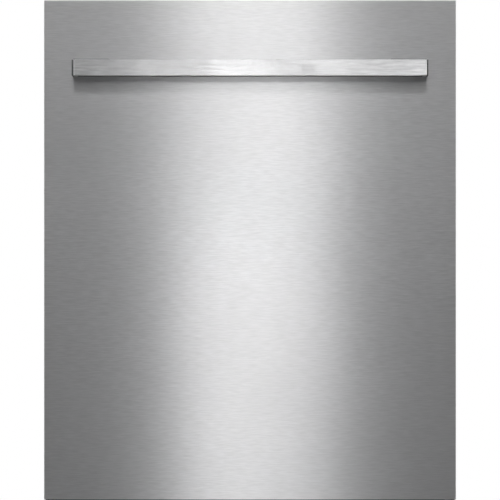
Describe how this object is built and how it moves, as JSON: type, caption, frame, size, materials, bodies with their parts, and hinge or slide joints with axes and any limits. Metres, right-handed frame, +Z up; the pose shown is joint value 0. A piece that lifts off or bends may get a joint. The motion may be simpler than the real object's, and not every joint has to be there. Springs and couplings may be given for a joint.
{
  "type": "built-in dishwasher",
  "caption": "Fully integrated dishwasher: drop-down door with a brushed stainless panel and bar handle, tub, sliding racks, spray arms, filter and levelling feet.",
  "frame": {"origin": "on the floor, under the middle of the machine's overall box", "axes": "+Z up, the door and its handle face -Y, +X to the right as seen from the front"},
  "size_m": [0.598, 0.612, 0.815],
  "materials": {
    "stainless_panel": "fine horizontal brushed grain",
    "stainless_handle": "coarser brushed grain",
    "handle_post": "satin",
    "dark_cap": "satin black moulding",
    "tub_steel": "satin stainless sheet",
    "zinc_sheet": "zinc-coated sheet",
    "zinc_dark": "zinc-coated heavy sheet",
    "base_plastic": "glass-filled polypropylene",
    "black_paint": "black powder coat",
    "seal_rubber": "matt rubber",
    "felt": "pressed felt",
    "white_plastic": "moulded plastic",
    "grey_plastic": "moulded polypropylene",
    "pale_plastic": "moulded polypropylene",
    "filter_mesh": "perforated stainless sheet",
    "rack_coating": "nylon-coated wire",
    "wheel_plastic": "moulded acetal",
    "fascia_black": "gloss black",
    "display_glass": "smoked window",
    "key_plastic": "dark grey key",
    "rinse_blue": "translucent blue",
    "board": "particle board",
    "bolt_steel": "zinc-plated steel",
    "spring_steel": "bright spring wire"
  },
  "bodies": {
    "cabinet": {"base_tray": "base_plastic", "tub_wrap": "tub_steel", "tub_back": "tub_steel", "tub_floor": "tub_steel", "door_gasket": "seal_rubber", "front_frame": "zinc_sheet", "side_panels": "zinc_sheet", "top_cover": "zinc_sheet", "rear_panel": "zinc_sheet", "insulation_mat": "felt", "toe_kick_plate": "black_paint", "sump": "grey_plastic", "filter_plate": "filter_mesh", "circulation_pump": "white_plastic", "drain_pump": "white_plastic", "water_softener": "white_plastic", "heat_exchanger": "pale_plastic", "inlet_valve": "white_plastic", "drain_outlet": "grey_plastic", "power_inlet": "dark_cap", "feed_pipe": "grey_plastic", "rack_rails": "tub_steel", "latch_strike": "bolt_steel", "hinge_brackets": "zinc_dark", "balance_springs": "spring_steel"},
    "door": {"decor_panel": "stainless_panel", "panel_filler": "board", "handle_bar": "stainless_handle", "handle_posts": "handle_post", "handle_end_caps": "dark_cap", "outer_door": "zinc_sheet", "inner_door": "tub_steel", "control_fascia": "fascia_black", "display_window": "display_glass", "dispenser_housing": "pale_plastic", "hinge_arms": "zinc_dark"},
    "spring_links": {"spring_links": "bolt_steel"},
    "front_foot_left": {"front_foot_left": "base_plastic"},
    "front_foot_right": {"front_foot_right": "base_plastic"},
    "rear_foot": {"rear_foot": "base_plastic"},
    "filter": {"filter_cylinder": "grey_plastic"},
    "salt_cap": {"salt_cap": "white_plastic"},
    "lower_spray_arm": {"lower_spray_arm": "pale_plastic"},
    "latch": {"door_latch": "bolt_steel"},
    "dispenser_lid": {"dispenser_lid": "pale_plastic"},
    "rinse_aid_cap": {"rinse_aid_cap": "rinse_blue"},
    "power_button": {"power_button": "key_plastic"},
    "programme_button": {"programme_button": "key_plastic"},
    "start_button": {"start_button": "key_plastic"},
    "lower_rack": {"lower_rack": "rack_coating"},
    "front_wheels": {"front_wheels": "wheel_plastic"},
    "rear_wheels": {"rear_wheels": "wheel_plastic"},
    "plate_tines": {"plate_tines": "rack_coating"},
    "upper_slides": {"upper_slides": "tub_steel"},
    "upper_rack": {"upper_rack": "rack_coating", "upper_feed_duct": "grey_plastic"},
    "upper_spray_arm": {"upper_spray_arm": "pale_plastic"},
    "cup_shelf_left": {"cup_shelf_left": "rack_coating"},
    "cup_shelf_right": {"cup_shelf_right": "rack_coating"},
    "cutlery_tray": {"cutlery_tray": "grey_plastic"}
  },
  "joints": [
    {"name": "door_hinge", "type": "hinge", "parent": "cabinet", "child": "door", "pos_m": [0, -0.215, 0.125], "axis": [1, 0, 0], "range_deg": [0, 90], "stiffness_Nm_per_rad": 26, "deforming": ["balance_springs"]},
    {"name": "spring_link_pull", "type": "slide", "parent": "cabinet", "child": "spring_links", "axis": [0, -1, 0], "range_m": [0, 0.0596]},
    {"name": "lower_rack_slide", "type": "slide", "parent": "cabinet", "child": "lower_rack", "axis": [0, -1, 0], "range_m": [0, 0.166]},
    {"name": "upper_slides_slide", "type": "slide", "parent": "cabinet", "child": "upper_slides", "axis": [0, -1, 0], "range_m": [0, 0.201]},
    {"name": "upper_rack_slide", "type": "slide", "parent": "cabinet", "child": "upper_rack", "axis": [0, -1, 0], "range_m": [0, 0.401]},
    {"name": "cutlery_tray_slide", "type": "slide", "parent": "cabinet", "child": "cutlery_tray", "axis": [0, -1, 0], "range_m": [0, 0.301]},
    {"name": "front_wheels_roll", "type": "hinge", "parent": "lower_rack", "child": "front_wheels", "pos_m": [0.2655, -0.045, 0.164], "axis": [1, 0, 0], "continuous": true},
    {"name": "rear_wheels_roll", "type": "hinge", "parent": "lower_rack", "child": "rear_wheels", "pos_m": [0.2655, 0.2, 0.164], "axis": [1, 0, 0], "continuous": true},
    {"name": "plate_tines_fold", "type": "hinge", "parent": "lower_rack", "child": "plate_tines", "pos_m": [0, 0.005, 0.1987], "axis": [-1, 0, 0], "range_deg": [0, 80]},
    {"name": "lower_spray_arm_spin", "type": "hinge", "parent": "cabinet", "child": "lower_spray_arm", "pos_m": [0, 0.04, 0.17], "axis": [0, 0, 1], "continuous": true},
    {"name": "upper_spray_arm_spin", "type": "hinge", "parent": "upper_rack", "child": "upper_spray_arm", "pos_m": [0, 0.04, 0.45], "axis": [0, 0, 1], "continuous": true},
    {"name": "cup_shelf_left_fold", "type": "hinge", "parent": "upper_rack", "child": "cup_shelf_left", "pos_m": [-0.247, 0.025, 0.56], "axis": [0, -1, 0], "range_deg": [0, 80]},
    {"name": "cup_shelf_right_fold", "type": "hinge", "parent": "upper_rack", "child": "cup_shelf_right", "pos_m": [0.247, 0.025, 0.56], "axis": [0, 1, 0], "range_deg": [0, 80]},
    {"name": "filter_twist", "type": "hinge", "parent": "cabinet", "child": "filter", "pos_m": [0.03, -0.02, 0.12], "axis": [0, 0, 1], "range_deg": [0, 90]},
    {"name": "salt_cap_twist", "type": "hinge", "parent": "cabinet", "child": "salt_cap", "pos_m": [-0.15, -0.107, 0.145], "axis": [0, 0, 1], "range_deg": [0, 90]},
    {"name": "front_foot_left_height", "type": "slide", "parent": "cabinet", "child": "front_foot_left", "axis": [0, 0, -1], "range_m": [0, 0.045]},
    {"name": "front_foot_right_height", "type": "slide", "parent": "cabinet", "child": "front_foot_right", "axis": [0, 0, -1], "range_m": [0, 0.045]},
    {"name": "rear_foot_height", "type": "slide", "parent": "cabinet", "child": "rear_foot", "axis": [0, 0, -1], "range_m": [0, 0.045]},
    {"name": "latch_tilt", "type": "hinge", "parent": "door", "child": "latch", "pos_m": [0, -0.226, 0.785], "axis": [1, 0, 0], "range_deg": [0, 12], "stiffness_Nm_per_rad": 0.3, "springref_deg": -5.73},
    {"name": "dispenser_lid_slide", "type": "slide", "parent": "door", "child": "dispenser_lid", "axis": [-1, 0, 0], "range_m": [0, 0.066]},
    {"name": "rinse_aid_cap_twist", "type": "hinge", "parent": "door", "child": "rinse_aid_cap", "pos_m": [0.046, -0.19, 0.436], "axis": [0, 1, 0], "range_deg": [0, 90]},
    {"name": "power_button_press", "type": "slide", "parent": "door", "child": "power_button", "axis": [0, 0, -1], "range_m": [0, 0.001], "stiffness_N_per_m": 400, "springref_m": -0.001},
    {"name": "programme_button_press", "type": "slide", "parent": "door", "child": "programme_button", "axis": [0, 0, -1], "range_m": [0, 0.001], "stiffness_N_per_m": 400, "springref_m": -0.001},
    {"name": "start_button_press", "type": "slide", "parent": "door", "child": "start_button", "axis": [0, 0, -1], "range_m": [0, 0.001], "stiffness_N_per_m": 400, "springref_m": -0.001}
  ],
  "couplings": [
    {"joint": "spring_link_pull", "follows": "door_hinge", "m_per_rad": 0.03781},
    {"joint": "lower_rack_slide", "follows": "door_hinge", "m_per_rad": 0.105},
    {"joint": "upper_slides_slide", "follows": "door_hinge", "m_per_rad": 0.1273},
    {"joint": "upper_rack_slide", "follows": "door_hinge", "m_per_rad": 0.2546},
    {"joint": "cutlery_tray_slide", "follows": "door_hinge", "m_per_rad": 0.191},
    {"joint": "front_wheels_roll", "follows": "door_hinge", "ratio": 6.1765},
    {"joint": "rear_wheels_roll", "follows": "door_hinge", "ratio": 6.1765}
  ]
}
